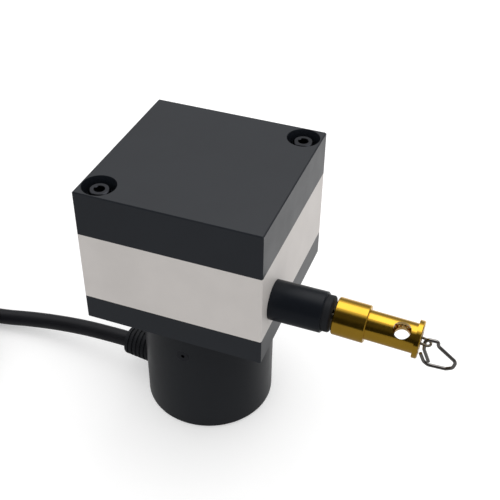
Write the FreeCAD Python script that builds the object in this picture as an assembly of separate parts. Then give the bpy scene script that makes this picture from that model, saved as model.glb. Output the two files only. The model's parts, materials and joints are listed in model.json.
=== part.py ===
"""Miniature draw wire encoder: a spring-driven cable drum in a square box of three layers, with a round
rotary encoder below it, a nozzle for the draw wire, a gold end ferrule and a wire snap clip.

Millimetres. The origin is the centre of the encoder's flat back, +Z is up the drum axis and +X is the way
the draw wire leaves.
"""

import FreeCAD, Part
import math
import os

V = FreeCAD.Vector

# Box
base_height = 7.6
box_wall = 4.4
cover_roof = 4.9
spring_wall = 5.4
edge_break = 0.28
corner_wall = 0.5
mount_inset = 7.0

# Rotary encoder body
encoder_r = 19.0
encoder_length = 40.4
can_height = 30.4
can_wall = 1.5
can_floor = 1.6
can_edge = 0.6
spigot_gap = 0.1
pilot_r = 10.0
pilot_height = 2.6
encoder_bolt_inset = 4.0

# Fits
running_gap = 0.04
seat_gap = 0.02
thread_gap = 0.02
wipe_gap = 0.05

# Draw wire and drum
wire_d = 0.5
turn_length = 100.0
wound_turns = 11
turn_spacing = 0.52
turn_relief = 0.12
lift_off_gap = 0.55
wire_bend_r = 12.0
drum_lift = 1.2
drum_face = 9.6
drum_flange_rise = 2.6
drum_flange_t = 1.2
drum_rim_t = 1.8
drum_web_t = 1.6
hub_r = 7.0
hub_height = 5.0
hub_top_gap = 0.6
arbor_r = 5.0
anchor_r = 0.9
anchor_length = 2.2

# Drum room and spring room
drum_room_gap = 2.4
divider_seat = 1.2
divider_t = 1.8
divider_gap = 1.0
spring_room_depth = 8.0
strip_t = 0.25
strip_side_gap = 0.6
strip_turns = 9
strip_gap = 0.25
strip_tab = 1.3
slot_gap = 0.2
arbor_end_gap = 0.4

# Shaft and its bearings
shaft_r = 3.0
shaft_tail = 0.7
journal_step = 0.5
journal_length = 2.4
bush_wall = 1.5
bush_length = 2.8
bearing_r = 6.5
bearing_width = 5.0
lower_bearing_lift = 1.6
race_t = 1.1
race_groove_r = 1.0
ball_r = 0.8
balls = 7
bearing_shoulder = 0.9
clip_ring_r = 4.6
clip_ring_t = 0.8
clip_groove = 0.3

# Nozzle
nozzle_r = 5.325
nozzle_length = 13.7
nozzle_spigot_r = 4.0
nozzle_spigot = 7.8
nozzle_bore_r = 1.9
wire_level_run = 3.4
wire_window_r = 2.2
insert_r = 2.8
felt_length = 3.4
felt_bore_r = 0.3
eyelet_length = 2.9
eyelet_bore_r = 0.5
eyelet_flare = 0.8
buffer_r = 4.73
buffer_length = 1.9
buffer_lip = 1.3
buffer_bore_r = 1.3

# End ferrule, rope eye and snap clip
ferrule_gap = 0.8
ferrule_droop = 2.5
grip_r = 4.85
grip_length = 8.3
neck_r = 3.82
neck_length = 12.13
rim_r = 4.8
rim_length = 1.35
ferrule_break = 0.25
wire_bore_r = 0.35
crimp_bore_r = 2.4
crimp_r = 2.35
wire_crimp_length = 5.4
eye_crimp_length = 1.5
cross_hole_r = 2.25
cross_hole_back = 4.88
cross_hole_lean = 29.5
rope_r = 0.35
eye_r = 1.05
eye_reach = 2.4
eye_droop = 7.5
eye_inset = 0.98
clip_wire_r = 0.45
clip_bend_r = 1.3
clip_route = [
    (1.25, -6.08), (-0.35, -2.38), (-0.45, 1.02), (2.75, 1.17), (2.85, -0.18), (7.75, -3.98),
    (7.25, -6.08), (5.65, -6.98), (1.25, -7.18), (0.05, -6.38), (-1.05, -3.98),
]

# Screws
m3_r = 1.5
m3_head_r = 2.75
m3_head_height = 3.0
m3_hex = 2.5
m3_clearance = 0.2
cover_screw_grip = 5.5
cover_bore_r = 4.5
cover_bore_depth = 4.0
encoder_screw_length = 8.0
head_gap = 0.25
head_sink = 0.2
tip_gap = 0.5
mount_thread_r = 1.65
mount_thread_rise = 2.0
grub_r = 1.4
grub_hex = 1.5
grub_hex_depth = 1.2
can_screw_r = 1.0
can_screw_head_r = 1.8
can_screw_length = 3.6
can_screw_land = 0.2

# Encoder inside
disc_gap = 3.0
disc_t = 0.8
disc_drop = 6.1
disc_hub_r = 7.0
disc_hub_height = 4.3
disc_spigot_r = 4.0
board_gap = 0.7
board_t = 1.6
board_drop = 2.8
reader_size = (4.0, 5.0, 2.0)
reader_inset = 3.0
bridge_width = 5.0
bridge_post = 1.6
bridge_post_gap = 0.5
bridge_hub_gap = 2.5
bridge_arm_gap = 0.9
bridge_arm_t = 2.6
pillar_r = 1.1
pillar_inset = 0.9
board_screw_r = 0.8
board_screw_head_r = 1.3
board_screw_head = 0.9
board_screw_length = 5.0
plug_size = (6.0, 8.0, 4.0)
lead_r = 0.4
lead_spacing = 1.4
leads = 5
lead_run = 3.0
seal_r = 0.7
seal_squeeze = 0.05
seal_land = 0.8

# Cable outlet
cable_r = 2.5
outlet_lift = 1.2
outlet_hole_r = 4.0
outlet_groove_gap = 0.1
boot_r = 5.0
boot_end_r = 4.2
boot_length = 8.6
boot_root = 1.2
boot_collar_r = 5.2
boot_collar_gap = 1.0
boot_collar_t = 1.5
board_notch_gap = 0.5

# Cable, from the boot to the put-away coil
cable_route = [
    (-27.6, 0.0, 8.0), (-36.5, 0.0, 8.0), (-48.0, 0.9, 6.3), (-62.0, 0.7, 4.3),
    (-76.0, -1.7, 3.1), (-86.0, -1.5, 2.6), (-96.0, -0.9, 2.5),
]
coil_centre = (-96.0, -29.4)
coil_turn_r = 23.5
coil_low_turns = 3
coil_gap_start = 215.0
coil_gap_angle = 65.0
core_r = 0.45
core_length = 15.0
core_rows = (3, 2)
core_spacing = 0.95

# Drum, box and rooms, which follow from the wire
pitch_r = turn_length / (2 * math.pi)
drum_r = pitch_r - wire_d / 2 - wipe_gap
drum_flange_r = round(drum_r + drum_flange_rise, 1)
drum_room_r = drum_flange_r + drum_room_gap
half = drum_room_r + box_wall
divider_r = drum_room_r + divider_seat
divider_hole_r = arbor_r + divider_gap
spring_room_r = half - spring_wall
strip_w = spring_room_depth - 2 * strip_side_gap
frame_height = drum_lift + 2 * drum_flange_t + drum_face + hub_height + hub_top_gap + divider_t
cover_height = spring_room_depth + cover_roof
corner = half - cover_bore_r - corner_wall
screw_corners = [(-corner, -corner), (corner, corner)]
mount_corner = half - mount_inset
thread_corners = [(-mount_corner, mount_corner), (mount_corner, -mount_corner)]

# Levels of the box and what is in it
z_base = encoder_length
z_frame = z_base + base_height
z_cover = z_frame + frame_height
z_top = z_cover + cover_height
z_drum = z_frame + drum_lift
z_face = z_drum + drum_flange_t
z_upper_flange = z_face + drum_face
z_hub = z_upper_flange + drum_flange_t
z_arbor = z_hub + hub_height
z_room_top = z_cover + spring_room_depth
z_arbor_top = z_room_top - arbor_end_gap
z_screw_seat = z_top - cover_bore_depth
cover_screw_length = z_screw_seat - z_frame + cover_screw_grip
wire_y = -pitch_r
wire_z = z_face + drum_face / 2
z_wound = wire_z - wound_turns * turn_spacing / 2
z_lift_off = z_wound - wire_d / 2 - lift_off_gap
z_anchor = z_wound + wound_turns * turn_spacing + wire_d

# Shaft, bearings and screws
journal_r = shaft_r - journal_step
bush_r = journal_r + bush_wall
shoulder_r = bearing_r - bearing_shoulder
ball_circle_r = (bearing_r + shaft_r) / 2
m3_hole_r = m3_r + m3_clearance
encoder_bore_r = m3_head_r + head_gap
encoder_bore_depth = m3_head_height + head_sink
can_screw_z = can_height - can_screw_head_r - can_screw_land

# Encoder, from its can inwards
can_inner_r = encoder_r - can_wall
seal_groove_r = can_inner_r - 2 * seal_r
encoder_bolt_r = encoder_r - encoder_bolt_inset
disc_r = can_inner_r - disc_gap
board_r = can_inner_r - board_gap
pillar_place_r = board_r - pillar_inset
reader_x = disc_r - reader_inset
bridge_post_x = disc_r + bridge_post_gap
bridge_arm_in = disc_hub_r + bridge_hub_gap
boot_collar_x = can_inner_r - boot_collar_gap
lead_start_x = boot_collar_t - boot_collar_x
coil_layer_rise = math.sqrt(3) * cable_r
plug_x = lead_start_x + lead_run + plug_size[0] / 2
z_spigot = can_screw_z - can_screw_r - 2 * seal_land - 2 * seal_r
z_seal = z_spigot + seal_land + seal_r
bearing_levels = (z_spigot + lower_bearing_lift, z_base + pilot_height - bearing_width)
disc_z = z_spigot - disc_drop
shaft_bottom = disc_z - shaft_tail
z_board = disc_z - board_drop
outlet_z = can_floor + boot_collar_r + outlet_lift
outlet_dir = V(-1, 0, 0)

# Places along the draw wire
x_nozzle_end = half + nozzle_length
x_insert = x_nozzle_end - buffer_lip - eyelet_length - felt_length
x_buffer_end = x_nozzle_end + buffer_length
x_ferrule = x_buffer_end + ferrule_gap
x_crimp = x_ferrule + grip_length
x_rim = x_crimp + neck_length
x_ferrule_end = x_rim + rim_length
x_cross = x_ferrule_end - cross_hole_back
x_eye_root = x_ferrule_end - eye_inset
mouth = V(x_ferrule, wire_y, wire_z)


def cyl(r, z0, z1, at=(0, 0)):
    """Upright cylinder between two levels."""
    return Part.makeCylinder(r, z1 - z0, V(at[0], at[1], z0))


def ring(outer, inner, z0, z1):
    return cyl(outer, z0, z1).cut(cyl(inner, z0, z1))


def x_cyl(r, x0, x1, y=wire_y, z=wire_z):
    """Cylinder along X, on the draw wire's line unless told otherwise."""
    return Part.makeCylinder(r, x1 - x0, V(x0, y, z), V(1, 0, 0))


def block(x0, x1, y0, y1, z0, z1):
    return Part.makeBox(x1 - x0, y1 - y0, z1 - z0, V(x0, y0, z0))


def turned(points):
    """Solid turned about the drum axis from (radius, level) points."""
    corners = [V(r, 0, z) for r, z in points]
    outline = Part.Face(Part.makePolygon(corners + corners[:1]))
    return outline.revolve(V(0, 0, 0), V(0, 0, 1), 360)


def turned_x(points):
    """Solid turned about the draw wire's line from (x, radius) points."""
    corners = [V(x, wire_y + r, wire_z) for x, r in points]
    outline = Part.Face(Part.makePolygon(corners + corners[:1]))
    return outline.revolve(V(0, wire_y, wire_z), V(1, 0, 0), 360)


def placed(shape, origin, direction):
    """A copy of a shape modelled up Z, moved to a point and turned to a direction."""
    moved = shape.copy()
    moved.Placement = FreeCAD.Placement(origin, FreeCAD.Rotation(V(0, 0, 1), direction))
    return moved


def around(count, start=90.0):
    """Evenly spaced angles in degrees."""
    return [start + 360.0 * i / count for i in range(count)]


can_screw_angles = around(3, 30.0)


def polar(r, degrees, z=0.0):
    return V(r * math.cos(math.radians(degrees)), r * math.sin(math.radians(degrees)), z)


def hexagon(across, z0, z1, at=(0, 0)):
    """Upright six-sided prism of the given size across its flats."""
    r = across / math.sqrt(3)
    corners = [polar(r, angle) + V(at[0], at[1], z0) for angle in around(6, 0)]
    return Part.Face(Part.makePolygon(corners + corners[:1])).extrude(V(0, 0, z1 - z0))


def hung(shape):
    """A copy of a shape on the wire's line, turned down about the ferrule's mouth as the ferrule hangs."""
    turned_down = shape.copy()
    turned_down.rotate(mouth, V(0, 1, 0), ferrule_droop)
    return turned_down


def hung_point(point):
    return mouth + FreeCAD.Rotation(V(0, 1, 0), ferrule_droop).multVec(point - mouth)


eye_root = hung_point(V(x_eye_root, wire_y, wire_z))
eye_tilt = math.radians(ferrule_droop + eye_droop)
eye_centre = eye_root + V(math.cos(eye_tilt), 0, -math.sin(eye_tilt)) * eye_reach


def fused(shapes):
    whole = shapes[0].fuse(shapes[1:])
    return whole.removeSplitter()


def rounded_path(points, largest=None):
    """Straight runs joined by tangent arcs. Each arc takes 0.45 of its shorter run, or the largest radius
    allowed. Returns the edges and the arc radii."""
    edges, radii = [], []
    start = points[0]
    for before, corner, after in zip(points, points[1:], points[2:]):
        back, ahead = before - corner, after - corner
        turn = math.pi - back.getAngle(ahead)
        reach = 0.45 * min(back.Length, ahead.Length)
        radius = reach / math.tan(turn / 2)
        if largest and radius > largest:
            radius = largest
            reach = radius * math.tan(turn / 2)
        back.normalize()
        ahead.normalize()
        into, out = corner + back * reach, corner + ahead * reach
        middle = (back + ahead).normalize()
        bulge = radius / math.cos(turn / 2) - radius
        edges.append(Part.LineSegment(start, into).toShape())
        edges.append(Part.Arc(into, corner + middle * bulge, out).toShape())
        radii.append(radius)
        start = out
    edges.append(Part.LineSegment(start, points[-1]).toShape())
    return edges, radii


def rod_along(edges, r):
    """Round rod of radius r swept along joined edges."""
    path = Part.Wire(edges)
    start = path.Edges[0].Vertexes[0].Point
    heading = path.Edges[0].tangentAt(path.Edges[0].FirstParameter)
    section = Part.Wire([Part.makeCircle(r, start, heading)])
    return Part.Solid(path.makePipeShell([section], True, False))


def plate(z0, z1, top_break=0.0, bottom_break=0.0):
    """Square layer of the box with broken upright edges, and broken top or bottom edges where asked."""
    body = block(-half, half, -half, half, z0, z1)
    upright = [e for e in body.Edges if abs(e.Vertexes[0].Z - e.Vertexes[1].Z) > edge_break]
    body = body.makeChamfer(edge_break, upright)
    for level, size in ((z1, top_break), (z0, bottom_break)):
        if size:
            rim = [e for e in body.Edges if all(abs(v.Z - level) < 1e-6 for v in e.Vertexes)]
            body = body.makeChamfer(size, rim)
    return body


def socket_screw(at, seat, length, shank_r):
    """Socket head cap screw with its head above the seat."""
    top = seat + m3_head_height
    body = cyl(m3_head_r, seat, top, at).fuse(cyl(shank_r, seat - length, seat, at)).removeSplitter()
    return body.cut(hexagon(m3_hex, top - m3_head_height / 2, top, at))


def grub_screw(length):
    """Grub screw up Z with its hexagon at the top."""
    body = Part.makeCylinder(grub_r, length)
    return body.cut(hexagon(grub_hex, length - grub_hex_depth, length))


def make_base_plate():
    body = plate(z_base, z_frame, bottom_break=edge_break)
    body = body.cut(cyl(pilot_r + seat_gap, z_base, z_base + pilot_height + seat_gap))
    body = body.cut(cyl(hub_r + tip_gap, z_base, z_frame))
    for angle in around(3):
        at = polar(encoder_bolt_r, angle)
        body = body.cut(cyl(m3_hole_r, z_base, z_frame, at))
        body = body.cut(cyl(encoder_bore_r, z_frame - encoder_bore_depth, z_frame, at))
    for at in screw_corners:
        tip = z_screw_seat - cover_screw_length - tip_gap
        body = body.cut(cyl(m3_r + thread_gap, tip, z_frame, at))
    for at in thread_corners:
        body = body.cut(cyl(mount_thread_r, z_base, z_frame, at))
    return body


def make_middle_frame():
    body = plate(z_frame, z_cover)
    body = body.cut(cyl(drum_room_r, z_frame, z_cover))
    body = body.cut(cyl(divider_r + seat_gap, z_cover - divider_t, z_cover))
    for at in screw_corners:
        body = body.cut(cyl(m3_hole_r, z_frame, z_cover, at))
    for at in thread_corners:
        body = body.cut(cyl(mount_thread_r, z_frame, z_frame + mount_thread_rise, at))
    body = body.cut(x_cyl(wire_window_r, 0, half))
    return body.cut(x_cyl(nozzle_spigot_r + thread_gap, half - nozzle_spigot - tip_gap, half))


def make_top_cover():
    body = plate(z_cover, z_top, top_break=edge_break)
    body = body.cut(cyl(spring_room_r, z_cover, z_room_top))
    body = body.cut(cyl(bush_r + seat_gap, z_room_top, z_room_top + bush_length + seat_gap))
    slot_half = strip_t + slot_gap
    outer_tab = spring_room_r + strip_tab
    body = body.cut(block(0, outer_tab, -slot_half, slot_half, z_cover, z_room_top))
    for at in screw_corners:
        body = body.cut(cyl(m3_hole_r, z_cover, z_top, at))
        body = body.cut(cyl(cover_bore_r, z_screw_seat, z_top, at))
    return body


def make_cover_screws():
    return [socket_screw(at, z_screw_seat, cover_screw_length, m3_r) for at in screw_corners]


def make_spring_divider():
    return ring(divider_r, divider_hole_r, z_cover - divider_t, z_cover)


def make_power_spring():
    """Flat spiral of half circles about two centres, so each turn grows by one pitch."""
    r_in = arbor_r + strip_gap + strip_t / 2
    r_out = spring_room_r - strip_gap - strip_t / 2
    pitch = (r_out - r_in) / strip_turns
    sides = []
    for offset in (-strip_t / 2, strip_t / 2):
        arcs = []
        for turn in range(strip_turns):
            upper = r_in + turn * pitch + offset
            lower = upper + pitch / 2
            arcs.append(Part.Arc(V(upper, 0, 0), V(0, upper, 0), V(-upper, 0, 0)).toShape())
            right = V(pitch / 2 + lower, 0, 0)
            arcs.append(Part.Arc(V(-upper, 0, 0), V(pitch / 2, -lower, 0), right).toShape())
        sides.append(arcs)
    inner_end = [V(r_in - strip_t / 2, 0, 0), V(r_in + strip_t / 2, 0, 0)]
    outer_end = [V(r_out - strip_t / 2, 0, 0), V(r_out + strip_t / 2, 0, 0)]
    caps = [Part.LineSegment(*inner_end).toShape(), Part.LineSegment(*outer_end).toShape()]
    outline = Part.Wire(Part.__sortEdges__(sides[0] + sides[1] + caps))
    z0 = z_cover + strip_side_gap
    strip = Part.Face(outline).extrude(V(0, 0, strip_w))
    strip.translate(V(0, 0, z0))
    inner_tab = block(r_in - strip_tab, r_in + strip_t / 2, -strip_t, 0, z0, z0 + strip_w)
    outer_tab = block(r_out - strip_t / 2, r_out + strip_tab, 0, strip_t, z0, z0 + strip_w)
    return fused([strip, inner_tab, outer_tab])


def make_cable_drum():
    """Measuring drum turned in one piece: rim with two flanges, web, hub and slotted spring arbor."""
    rim_in = drum_r - drum_rim_t
    bore = shaft_r + seat_gap
    body = turned([
        (bore, z_drum), (hub_r, z_drum), (hub_r, z_hub - drum_web_t), (rim_in, z_hub - drum_web_t),
        (rim_in, z_drum), (drum_flange_r, z_drum), (drum_flange_r, z_face), (drum_r, z_face),
        (drum_r, z_upper_flange), (drum_flange_r, z_upper_flange), (drum_flange_r, z_hub),
        (hub_r, z_hub), (hub_r, z_arbor), (arbor_r, z_arbor), (arbor_r, z_arbor_top), (bore, z_arbor_top),
    ])
    for angle in around(2, 0):
        hole = Part.makeCylinder(grub_r + thread_gap, hub_r)
        body = body.cut(placed(hole, V(0, 0, z_hub + hub_height / 2), polar(1, angle)))
    anchor_hole = Part.makeCylinder(wire_d / 2 + wipe_gap, drum_flange_r)
    body = body.cut(placed(anchor_hole, V(0, 0, z_anchor), V(0, 1, 0)))
    slot_in = arbor_r - strip_tab
    return body.cut(block(slot_in, arbor_r + strip_t, -strip_t - slot_gap, slot_gap, z_cover, z_arbor_top))


def make_drum_grub_screws():
    length = hub_r - shaft_r - 2 * seat_gap
    start = shaft_r + seat_gap
    level = z_hub + hub_height / 2
    return [placed(grub_screw(length), polar(start, a, level), polar(1, a)) for a in around(2, 0)]


def make_wire_stop():
    """Pressed bead that holds the wire's inner end against the inside of the rim."""
    seat = drum_r - drum_rim_t - wipe_gap
    out = V(0, 1, 0)
    bead = Part.makeCylinder(anchor_r, anchor_length, V(0, seat - anchor_length, z_anchor), out)
    tail = Part.makeCylinder(wire_d / 2, drum_rim_t, V(0, seat, z_anchor), out)
    return bead.fuse(tail).removeSplitter()


def make_wire_winding():
    """The stored turns, side by side in one layer."""
    valley = pitch_r + wire_d / 2 - turn_relief
    crest = pitch_r + wire_d / 2
    inside = drum_r + seat_gap
    profile = [(inside, z_wound), (valley, z_wound)]
    for turn in range(wound_turns):
        z0 = z_wound + turn * turn_spacing
        profile += [(crest, z0 + turn_spacing / 2), (valley, z0 + turn_spacing)]
    profile.append((inside, z_wound + wound_turns * turn_spacing))
    return turned(profile)


def make_main_shaft():
    """One shaft from the code disc to the bush in the cover, with a groove for the retaining ring."""
    z_ring = bearing_levels[0]
    body = cyl(shaft_r, shaft_bottom, z_arbor_top)
    body = body.fuse(cyl(journal_r, z_arbor_top, z_room_top + journal_length))
    return body.cut(ring(clip_ring_r, shaft_r - clip_groove, z_ring - clip_ring_t, z_ring))


def make_top_bush():
    return ring(bush_r, journal_r + running_gap, z_room_top, z_room_top + bush_length)


def make_retaining_ring():
    z1 = bearing_levels[0]
    z0 = z1 - clip_ring_t
    body = ring(clip_ring_r, shaft_r - clip_groove + seat_gap, z0, z1)
    return body.cut(block(0, clip_ring_r, -shaft_r / 2, shaft_r / 2, z0, z1))


def race(outer, inner, z0):
    """Bearing ring with its ball groove."""
    groove = Part.makeTorus(ball_circle_r, race_groove_r, V(0, 0, z0 + bearing_width / 2))
    return ring(outer, inner, z0, z0 + bearing_width).cut(groove)


def make_bearing_outer_races():
    return [race(bearing_r, bearing_r - race_t, z0) for z0 in bearing_levels]


def make_bearing_inner_races():
    return [race(shaft_r + race_t, shaft_r + seat_gap, z0) for z0 in bearing_levels]


def make_bearing_balls():
    found = []
    for z0 in bearing_levels:
        for angle in around(balls):
            found.append(Part.makeSphere(ball_r, polar(ball_circle_r, angle, z0 + bearing_width / 2)))
    return found


def make_wire_nozzle():
    """Threaded nozzle: spigot in the frame, round body outside, insert pocket behind the mouth."""
    x0 = half - nozzle_spigot
    return turned_x([
        (x0, nozzle_bore_r), (x0, nozzle_spigot_r), (half, nozzle_spigot_r), (half, nozzle_r),
        (x_nozzle_end - edge_break, nozzle_r), (x_nozzle_end, nozzle_r - edge_break),
        (x_nozzle_end, insert_r + seat_gap), (x_insert, insert_r + seat_gap), (x_insert, nozzle_bore_r),
    ])


def make_wiper_felt():
    felt = x_cyl(insert_r, x_insert, x_insert + felt_length)
    return felt.cut(x_cyl(felt_bore_r, x_insert, x_nozzle_end))


def make_guide_eyelet():
    """Ceramic guide ring with flared mouths."""
    x0 = x_insert + felt_length
    x1 = x0 + eyelet_length
    flared = eyelet_bore_r + eyelet_flare
    return turned_x([
        (x0, flared), (x0, insert_r), (x1, insert_r), (x1, flared),
        (x1 - eyelet_flare, eyelet_bore_r), (x0 + eyelet_flare, eyelet_bore_r),
    ])


def make_nozzle_buffer():
    """Rubber stop at the nozzle's mouth that the ferrule comes home against."""
    x0 = x_nozzle_end - buffer_lip
    return turned_x([
        (x0, buffer_bore_r), (x0, insert_r), (x_nozzle_end, insert_r), (x_nozzle_end, buffer_r),
        (x_buffer_end - edge_break, buffer_r), (x_buffer_end, buffer_r - edge_break),
        (x_buffer_end, buffer_bore_r),
    ])


def make_draw_wire():
    """The free length at rest, from the drum to the crimp in the ferrule."""
    route = [
        V(0, wire_y, z_lift_off),
        V(x_insert - wire_level_run, wire_y, wire_z),
        mouth,
        hung_point(V(x_crimp + wire_crimp_length, wire_y, wire_z)),
    ]
    return rod_along(rounded_path(route, wire_bend_r)[0], wire_d / 2)


def cross_hole_axis():
    lean = math.radians(cross_hole_lean)
    return V(0, -math.sin(lean), math.cos(lean))


def make_end_ferrule():
    """Turned ferrule: thick grip, slimmer neck with a tapped bore and a cross hole, and an end rim."""
    c = ferrule_break
    body = turned_x([
        (x_ferrule, wire_bore_r), (x_ferrule, grip_r - c), (x_ferrule + c, grip_r), (x_crimp - c, grip_r),
        (x_crimp, grip_r - c), (x_crimp, neck_r), (x_rim, neck_r), (x_rim, rim_r),
        (x_ferrule_end - c, rim_r), (x_ferrule_end, rim_r - c), (x_ferrule_end, crimp_bore_r),
        (x_crimp, crimp_bore_r), (x_crimp, wire_bore_r),
    ])
    axis = cross_hole_axis()
    start = V(x_cross, wire_y, wire_z) - axis * rim_r
    return hung(body.cut(Part.makeCylinder(cross_hole_r, 2 * rim_r, start, axis)))


def make_wire_crimp():
    x0 = x_crimp + seat_gap
    return hung(x_cyl(crimp_r, x0, x0 + wire_crimp_length).cut(x_cyl(wire_d / 2 + seat_gap, x0, x_rim)))


def make_eye_crimp():
    return hung(x_cyl(crimp_r, x_eye_root - eye_crimp_length, x_eye_root))


def make_rope_eye():
    """Loop of steel rope that stands out of the ferrule's end and droops a little."""
    side = V(0, eye_r, 0)
    ahead = (eye_centre - eye_root).normalize()
    root = eye_root
    legs = [
        Part.LineSegment(root + side, eye_centre + side).toShape(),
        Part.LineSegment(eye_centre - side, root - side).toShape(),
    ]
    bow = Part.Arc(eye_centre + side, eye_centre + ahead * eye_r, eye_centre - side).toShape()
    eye = rod_along([legs[0], bow, legs[1]], rope_r)
    return eye.cut(make_eye_crimp())


def make_snap_clip():
    route = [eye_centre + V(x, 0, z) for x, z in clip_route]
    edges, radii = rounded_path(route, clip_bend_r)
    print("snap clip bend radii", [round(r, 2) for r in radii])
    return rod_along(edges, clip_wire_r)


def make_encoder_flange():
    """Flange with a spigot in the can, a pilot in the base plate and a seat for each bearing."""
    bore = bearing_r + seat_gap
    outer = can_inner_r - spigot_gap
    z_lower, z_upper = bearing_levels
    body = turned([
        (bore, z_spigot), (outer, z_spigot), (outer, can_height), (encoder_r, can_height),
        (encoder_r, z_base), (pilot_r, z_base), (pilot_r, z_base + pilot_height),
        (bore, z_base + pilot_height), (bore, z_upper), (shoulder_r, z_upper),
        (shoulder_r, z_lower + bearing_width), (bore, z_lower + bearing_width),
    ])
    depth = encoder_screw_length - (base_height - encoder_bore_depth) + tip_gap
    for angle in around(3):
        at = polar(encoder_bolt_r, angle)
        body = body.cut(cyl(m3_r + thread_gap, z_base - depth, z_base, at))
    for angle in can_screw_angles:
        hole = Part.makeCylinder(can_screw_r + thread_gap, can_screw_length + tip_gap)
        start = encoder_r - can_screw_length - tip_gap
        body = body.cut(placed(hole, polar(start, angle, can_screw_z), polar(1, angle)))
    return body.cut(ring(can_inner_r, seal_groove_r, z_seal - seal_r, z_seal + seal_r))


def make_can_seal():
    """Rubber ring between the flange and the can."""
    return Part.makeTorus(can_inner_r - seal_r, seal_r - seal_squeeze, V(0, 0, z_seal))


def make_encoder_can():
    """Cup with the cable's outlet and three countersunk holes."""
    body = turned([
        (0, 0), (encoder_r - can_edge, 0), (encoder_r, can_edge), (encoder_r, can_height),
        (can_inner_r, can_height), (can_inner_r, can_floor), (0, can_floor),
    ])
    body = body.cut(Part.makeCylinder(outlet_hole_r, encoder_r, V(0, 0, outlet_z), outlet_dir))
    hole = Part.makeCylinder(can_screw_r + thread_gap, 2 * can_wall, V(0, 0, -2 * can_wall))
    cutter = hole.fuse(can_screw_head(thread_gap))
    for angle in can_screw_angles:
        body = body.cut(placed(cutter, polar(encoder_r, angle, can_screw_z), polar(1, angle)))
    return body


def can_screw_head(extra=0.0):
    """Countersunk head below Z zero."""
    depth = can_screw_head_r - can_screw_r
    return Part.makeCone(can_screw_r + extra, can_screw_head_r + extra, depth, V(0, 0, -depth))


def make_can_screws():
    shank = Part.makeCylinder(can_screw_r, can_screw_length, V(0, 0, -can_screw_length))
    screw = shank.fuse(can_screw_head()).removeSplitter()
    screw = screw.cut(hexagon(can_screw_r, -can_screw_r / 2, 0))
    return [placed(screw, polar(encoder_r, a, can_screw_z), polar(1, a)) for a in can_screw_angles]


def make_encoder_screws():
    seat = z_frame - encoder_bore_depth
    return [
        socket_screw(polar(encoder_bolt_r, angle), seat, encoder_screw_length, m3_r) for angle in around(3)
    ]


def make_disc_hub():
    bore = shaft_r + seat_gap
    z1 = disc_z + disc_t
    body = turned([
        (bore, shaft_bottom), (disc_spigot_r, shaft_bottom), (disc_spigot_r, z1), (disc_hub_r, z1),
        (disc_hub_r, z1 + disc_hub_height), (bore, z1 + disc_hub_height),
    ])
    hole = Part.makeCylinder(grub_r + thread_gap, disc_hub_r)
    return body.cut(placed(hole, V(0, 0, z1 + disc_hub_height / 2), V(0, 1, 0)))


def make_hub_grub_screw():
    level = disc_z + disc_t + disc_hub_height / 2
    length = disc_hub_r - shaft_r - 2 * seat_gap
    return placed(grub_screw(length), V(0, shaft_r + seat_gap, level), V(0, 1, 0))


def make_code_disc():
    return ring(disc_r, disc_spigot_r + seat_gap, disc_z, disc_z + disc_t)


def make_circuit_board():
    """Round board that keeps clear of the boot's collar."""
    z0 = z_board - board_t
    body = cyl(board_r, z0, z_board)
    for angle in around(3):
        body = body.cut(cyl(board_screw_r + seat_gap, z0, z_board, polar(pillar_place_r, angle)))
    start = V(board_notch_gap + lead_start_x, 0, outlet_z)
    return body.cut(Part.makeCylinder(boot_collar_r + board_notch_gap, encoder_r, start, outlet_dir))


def make_board_pillars():
    found = []
    for angle in around(3):
        at = polar(pillar_place_r, angle)
        pillar = cyl(pillar_r, z_board, z_spigot, at)
        tip = z_board - board_t + board_screw_length + tip_gap
        found.append(pillar.cut(cyl(board_screw_r + thread_gap, z_board, tip, at)))
    return found


def make_board_screws():
    found = []
    seat = z_board - board_t
    for angle in around(3):
        at = polar(pillar_place_r, angle)
        head = cyl(board_screw_head_r, seat - board_screw_head, seat, at)
        found.append(head.fuse(cyl(board_screw_r, seat, seat + board_screw_length, at)).removeSplitter())
    return found


def make_reader_chip():
    length, width, height = reader_size
    x0 = reader_x - length / 2
    return block(x0, x0 + length, -width / 2, width / 2, z_board, z_board + height)


def make_light_bridge():
    """Lamp holder that stands on the board and reaches over the rim of the code disc."""
    z0 = disc_z + disc_t + bridge_arm_gap
    z1 = z0 + bridge_arm_t
    w = bridge_width / 2
    post = block(bridge_post_x, bridge_post_x + bridge_post, -w, w, z_board, z1)
    arm = block(bridge_arm_in, bridge_post_x + bridge_post, -w, w, z0, z1)
    return fused([post, arm])


def make_board_plug():
    length, width, height = plug_size
    z1 = z_board - board_t
    return block(plug_x - length / 2, plug_x + length / 2, -width / 2, width / 2, z1 - height, z1)


def make_inner_leads():
    """Cores of the cable, from the boot's collar to the plug on the board."""
    z = z_board - board_t - plug_size[2] / 2
    first = -lead_spacing * (leads - 1) / 2
    x0, x1 = lead_start_x, lead_start_x + lead_run
    return [x_cyl(lead_r, x0, x1, first + i * lead_spacing, z) for i in range(leads)]


def make_cable_boot():
    """Tapered strain relief moulded on the cable, with a groove that snaps into the can's wall."""
    def at(x):
        return V(0, 0, outlet_z) + outlet_dir * x

    root = encoder_r - boot_root
    end = encoder_r + boot_length
    collar = Part.makeCylinder(boot_collar_r, boot_collar_t, at(boot_collar_x - boot_collar_t), outlet_dir)
    groove_r = outlet_hole_r - outlet_groove_gap
    neck = Part.makeCylinder(groove_r, encoder_r - boot_collar_x, at(boot_collar_x), outlet_dir)
    taper = Part.makeCone(boot_r, boot_end_r, end - root, at(root), outlet_dir)
    return fused([collar, neck, taper.cut(cyl(encoder_r + seat_gap, 0, can_height))])


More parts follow.
